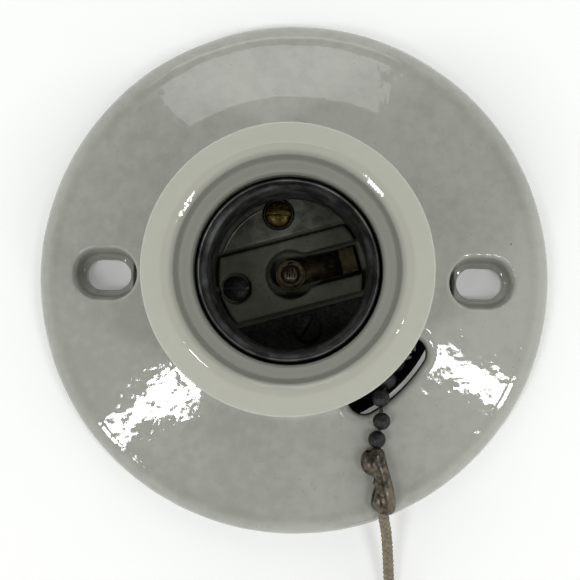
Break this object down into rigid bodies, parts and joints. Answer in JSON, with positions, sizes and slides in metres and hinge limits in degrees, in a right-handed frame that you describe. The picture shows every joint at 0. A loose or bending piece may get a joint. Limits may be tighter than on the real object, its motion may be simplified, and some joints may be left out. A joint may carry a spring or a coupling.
{
  "type": "pull-chain lampholder switch",
  "caption": "Round porcelain lampholder with a screw socket and a pull-chain switch; a bead chain and cord leave a curved slot in its base.",
  "frame": {"origin": "centre of the base's back face", "axes": "+Z along the socket's axis and out of its mouth; +X along the line of the two mounting slots; the chain leaves towards -Y"},
  "size_m": [0.0952, 0.1477, 0.0544],
  "materials": {
    "porcelain": "glossy white glaze, slightly greyed",
    "shell_metal": "dark aged nickel plate",
    "brass": "aged brass",
    "dark_screw": "blackened steel",
    "contact_metal": "dull spring brass",
    "pip_silver": "worn silvered contact",
    "frame_steel": "zinc-plated steel",
    "spring_steel": "spring steel wire",
    "fibre": "vulcanised fibre board",
    "moulded_insulator": "dark brown moulded phenolic",
    "chain_metal": "dull aged nickel",
    "coupling_metal": "worn bronzed brass with bright edges",
    "cord_cotton": "braided beige cotton"
  },
  "bodies": {
    "holder": {"porcelain_body": "porcelain", "screw_shell": "shell_metal", "upper_shell_screw": "brass", "upper_screw_washer": "contact_metal", "lower_shell_screw": "dark_screw", "bar_screw": "dark_screw", "load_contact": "contact_metal", "line_contact": "contact_metal", "neutral_strap": "contact_metal", "line_terminal_screw": "brass", "neutral_terminal_screw": "frame_steel", "frame_top_plate": "frame_steel", "frame_back_plate": "frame_steel", "frame_pillars": "frame_steel", "spindle": "frame_steel", "spindle_clip": "spring_steel", "thrust_washer": "frame_steel", "detent_spring": "spring_steel", "return_spring": "spring_steel", "back_cover": "fibre", "cover_screws": "frame_steel"},
    "centre_contact": {"centre_contact_leaf": "contact_metal", "centre_contact_pip": "pip_silver"},
    "lever": {"pull_lever": "frame_steel", "pawl_pin": "frame_steel", "pawl_spring": "spring_steel", "lever_beads": "chain_metal", "fork_link": "chain_metal", "inner_link": "chain_metal"},
    "pawl": {"drive_pawl": "frame_steel"},
    "rotor": {"ratchet_wheel": "frame_steel", "contact_rotor": "moulded_insulator", "rotor_contact": "contact_metal"},
    "inner_bead": {"chain_bead_inner": "chain_metal", "middle_link": "chain_metal"},
    "middle_bead": {"chain_bead_middle": "chain_metal"},
    "pulled_bead": {"chain_bead_lead": "chain_metal", "lead_link": "chain_metal"},
    "chain_tail": {"chain_beads_outer": "chain_metal", "outer_links": "chain_metal", "chain_coupling": "coupling_metal", "cord_knot": "cord_cotton"},
    "cord": {"pull_cord": "cord_cotton"}
  },
  "joints": [
    {"name": "chain_pull", "type": "slide", "parent": "holder", "child": "pulled_bead", "axis": [0.058, -0.9983, 0], "range_m": [0, 0.0086]},
    {"name": "lever_swing", "type": "hinge", "parent": "holder", "child": "lever", "pos_m": [0, 0, 0.0043], "axis": [0, 0, 1], "range_deg": [-22.51, 0], "deforming": ["return_spring", "detent_spring"]},
    {"name": "ratchet_play", "type": "hinge", "parent": "lever", "child": "rotor", "pos_m": [0, 0, 0.0085], "axis": [0, 0, 1], "range_deg": [-1, 0]},
    {"name": "inner_bead_slide", "type": "slide", "parent": "holder", "child": "inner_bead", "axis": [-0.4793, -0.8641, 0.1535], "range_m": [0, 0.00848]},
    {"name": "middle_bead_slide", "type": "slide", "parent": "holder", "child": "middle_bead", "axis": [-0.2095, -0.9604, 0.1837], "range_m": [0, 0.00817]},
    {"name": "chain_swing", "type": "hinge", "parent": "pulled_bead", "child": "chain_tail", "pos_m": [0.01655, -0.0214, 0.0119], "axis": [-1, 0, 0], "range_deg": [0, 85]},
    {"name": "cord_swing", "type": "hinge", "parent": "chain_tail", "child": "cord", "pos_m": [0.01861, -0.04262, 0.00922], "axis": [-1, 0, 0], "range_deg": [0, 60]},
    {"name": "pawl_lift", "type": "hinge", "parent": "lever", "child": "pawl", "pos_m": [0.00827, -0.00487, 0.0085], "axis": [0, 0, 1], "range_deg": [0, 12], "deforming": ["pawl_spring"]},
    {"name": "centre_contact_press", "type": "hinge", "parent": "holder", "child": "centre_contact", "pos_m": [0.00827, 0.00237, 0.0262], "axis": [0.2756, -0.9613, 0], "range_deg": [0, 7]}
  ],
  "couplings": [
    {"joint": "lever_swing", "follows": "chain_pull", "rad_per_m": -45.663},
    {"joint": "inner_bead_slide", "follows": "chain_pull", "ratio": 0.98499},
    {"joint": "middle_bead_slide", "follows": "chain_pull", "ratio": 0.94922}
  ]
}
